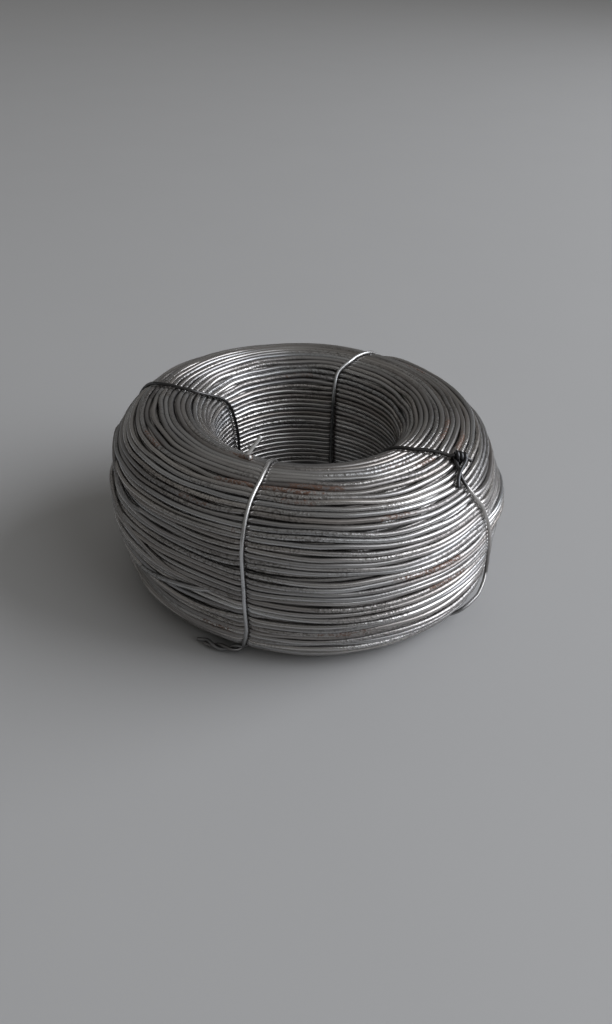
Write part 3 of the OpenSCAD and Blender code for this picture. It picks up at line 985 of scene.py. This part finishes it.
class COIL_OT_ties(Operator):
    """Bind the coil with its four ties"""

    bl_idname = "coil.ties"
    bl_label = "Ties"

    # Steps along a tie and along its ends, sides of its wire, and the first tie's number.
    STEP, END_STEP, SIDES, FIRST = 0.7 * MM, 0.35 * MM, 12, 310.0
    # Room between a tie and the turns and between a tie and the floor.
    STAND_OFF, FLOOR_GAP = 0.12 * MM, 0.02 * MM
    # The line is worked out in finer steps, and its bends are eased over that many of them to each side, twice.
    FINE, EASE, EASINGS = 0.1 * MM, 10, 2
    # Where a tie stands off the turns: places on the section and how far in mm.
    LOOSE = {
        "tie_right": ((1.3, 0), (1.6, 0.7), (1.72, 1.3), (1.77, 1.6), (1.84, 1.1), (1.9, 0.6), (2.2, 0)),
    }
    # Where three of the ties' ends leave the coil, on the foot's round, the room that the twist takes there in
    # radii of the wire, how far its strands lie from its axis in radii, and the lines of those twisted ends in mm.
    TWISTED_AT, TWIST_ROOM, SPREAD = 1.45, 2.2, 1.06
    TWISTS = {
        "tie_front": ((-15.3, -48.0, 2.4), (-17.5, -48.5, 2.1), (-20.5, -48.3, 1.8), (-23.8, -47.0, 1.7),
                      (-26.0, -45.7, 1.7), (-27.7, -44.6, 1.7)),
        "tie_back": ((20.4, 46.2, 1.9), (18.6, 48.6, 1.9), (14.8, 50.0, 1.9)),
        "tie_left": ((-47.9, 15.6, 1.9), (-48.6, 18.0, 1.9), (-47.5, 21.4, 1.9)),
    }
    # How much of the twist the shorter end reaches.
    SHORT_END = 0.84
    # The right tie is knotted on the crown: its end from the crown, and its end from the face wound round it.
    KNOT_AT = (3.76, 3.47)
    KNOT_END = ((38.4, -22.85, 48.65), (39.9, -22.55, 48.2), (41.4, -22.25, 47.75), (42.6, -21.9, 47.2),
                (43.3, -22.1, 46.6))
    KNOT_LEAD = ((40.0, -28.0, 45.4), (39.6, -26.5, 46.4), (39.1, -24.7, 47.2))
    KNOT_TAIL = ((41.0, -25.0, 47.4), (40.1, -27.0, 47.2), (39.3, -28.8, 46.4), (39.0, -30.2, 45.2),
                 (39.1, -31.4, 44.2))
    # The wraps in mm: first middle, how it moves on with each eighth of a turn, radius, eighths of a turn, and the
    # direction in which they start.
    WRAP_FROM, WRAP_STEP, WRAP_RADIUS, WRAP_EIGHTHS = (38.6, -22.8, 48.6), (0.131, 0.026, -0.039), 1.15, 24
    WRAP_START = -135
    # Each tie's share of the black oxide colour at places on the section: partly black oxide from annealing, partly
    # painted shade, high where the tie lies in shade or faces away from the light and low where the light catches it.
    OXIDE_AND_SHADE = {
        "tie_front": ((1.45, 0.7), (1.8, 0.3), (2.4, 0.05), (3.2, 0.0), (6, 0.1), (9, 0.6)),
        "tie_right": ((0, 0.6), (2.2, 0.5), (2.6, 0.05), (3.38, 0.0), (3.44, 0.92), (9, 0.82)),
        "tie_back": ((0, 0.4), (3, 0.1), (6.0, 0.0), (6.08, 0.6), (9, 0.6)),
        "tie_left": ((0, 0.9), (9, 0.9)),
    }

    def execute(self, context):
        scene = context.scene
        sizes, ties = scene.coil_sizes, scene.coil_ties
        section = SectionLine(sizes)
        material = finish_material("annealed_tie_wire", scene)
        for number, name in enumerate(TIE_LINES):
            line, oxide_and_shade = self.bound(section, sizes, ties, name)
            piece = wire_piece(
                f"{name}_wire", line, ties.wire, self.SIDES, sizes, material, self.FIRST + number, oxide_and_shade=oxide_and_shade)
            own_piece(piece, name)
        return {"FINISHED"}

    def bound(self, section, sizes, ties, name):
        """One tie's line, from one end once round the section to the other, and its oxide share there, which is partly
        painted shade.
        """
        half = ties.wire / 2
        knotted = name not in self.TWISTS
        first, last = self.KNOT_AT if knotted else (self.TWISTED_AT, self.TWISTED_AT)
        room = 0 if knotted else self.TWIST_ROOM * half
        station = np.arange(section.where(first) + room, section.where(last) + section.length - room, self.FINE)
        places = section.place(station % section.length)
        angle = np.unwrap(tie_direction(name, places))
        kernel = np.ones(2 * self.EASE + 1) / (2 * self.EASE + 1)
        for _ in range(self.EASINGS):
            angle = np.convolve(np.pad(angle, self.EASE, mode="edge"), kernel, "valid")
        lift = sizes.wire / 2 + half + self.STAND_OFF - pinch(ties, places) + form(places, angle)
        if name in self.LOOSE:
            lift += MM * at_places(self.LOOSE[name], places)
        radius, height = section.at(station, lift)
        loop = turned(angle, radius, np.maximum(height, half + self.FLOOR_GAP))
        run = run_of(loop)
        even = np.linspace(0, run[-1], round(run[-1] / self.STEP))
        loop = resampled(loop, even)
        places = section.place(np.interp(even, run, station) % section.length)
        if knotted:
            ends = [smooth_line(np.vstack([start, np.array(points) * MM]), self.END_STEP)[1:]
                    for start, points in zip((loop[0], loop[-1]), self.knot())]
        else:
            axis = smooth_line(np.array(self.TWISTS[name]) * MM, self.END_STEP)
            ends = self.twisted(axis, loop[0] - loop[-1], ties)
        oxide_and_shade = np.pad(at_places(self.OXIDE_AND_SHADE[name], places), [len(end) for end in ends], mode="edge")
        return np.concatenate([ends[0][::-1], loop, ends[1]]), oxide_and_shade

    def knot(self):
        """The two ends of the knotted tie: one straight on, and one wound round it and down the face."""
        eighth = np.arange(self.WRAP_EIGHTHS)[:, None]
        turn = np.radians(45 * eighth + self.WRAP_START)
        wraps = (np.array(self.WRAP_FROM) + eighth * np.array(self.WRAP_STEP)
                 + self.WRAP_RADIUS * np.hstack([0 * turn, np.cos(turn), np.sin(turn)]))
        return self.KNOT_END, np.vstack([self.KNOT_LEAD, wraps, self.KNOT_TAIL])

    def twisted(self, axis, side, ties):
        """Two ends twisted round each other along an axis, the second one shorter."""
        half = ties.wire / 2
        strands = [[], []]
        for point, way, length in zip(axis, ways_of(axis), run_of(axis)):
            side = side - way * np.dot(side, way)
            side /= np.linalg.norm(side)
            turn = 2 * np.pi * length / ties.twist_pitch
            across = math.cos(turn) * side + math.sin(turn) * np.cross(way, side)
            for strand, sign in zip(strands, (1, -1)):
                strand.append(point + sign * self.SPREAD * half * across)
        strands = [np.array(strands[0]), np.array(strands[1][:int(self.SHORT_END * len(axis))])]
        for strand in strands:
            strand[:, 2] = np.maximum(strand[:, 2], half + self.FLOOR_GAP)
        return strands


class COIL_PT_panel(Panel):
    """Sizes, colours and pieces of the coil"""

    bl_idname = "COIL_PT_panel"
    bl_label = "Wire Coil"
    bl_space_type = "VIEW_3D"
    bl_region_type = "UI"
    bl_category = "Wire Coil"

    def draw(self, context):
        for key, group in GROUPS.items():
            box = self.layout.box()
            for name in group.__annotations__:
                box.prop(getattr(context.scene, key), name)
        for operator in OPERATORS:
            self.layout.operator(operator.bl_idname)


GROUPS = {
    "coil_sizes": COIL_PG_sizes,
    "coil_ties": COIL_PG_ties,
    "coil_finish": COIL_PG_finish,
    "coil_stage": COIL_PG_stage,
}
OPERATORS = (
    COIL_OT_stage, COIL_OT_turns, COIL_OT_under_turns, COIL_OT_stray_turns, COIL_OT_wire_end, COIL_OT_ties)
CLASSES = (*GROUPS.values(), *OPERATORS, COIL_PT_panel)


def register():
    for cls in CLASSES:
        bpy.utils.register_class(cls)
    for name, group in GROUPS.items():
        setattr(bpy.types.Scene, name, PointerProperty(type=group))


def unregister():
    for name in GROUPS:
        delattr(bpy.types.Scene, name)
    for cls in reversed(CLASSES):
        bpy.utils.unregister_class(cls)


def main():
    register()
    bpy.ops.coil.stage()
    bpy.ops.coil.turns()
    bpy.ops.coil.under_turns()
    bpy.ops.coil.stray_turns()
    bpy.ops.coil.wire_end()
    bpy.ops.coil.ties()


if __name__ == "__main__":
    main()
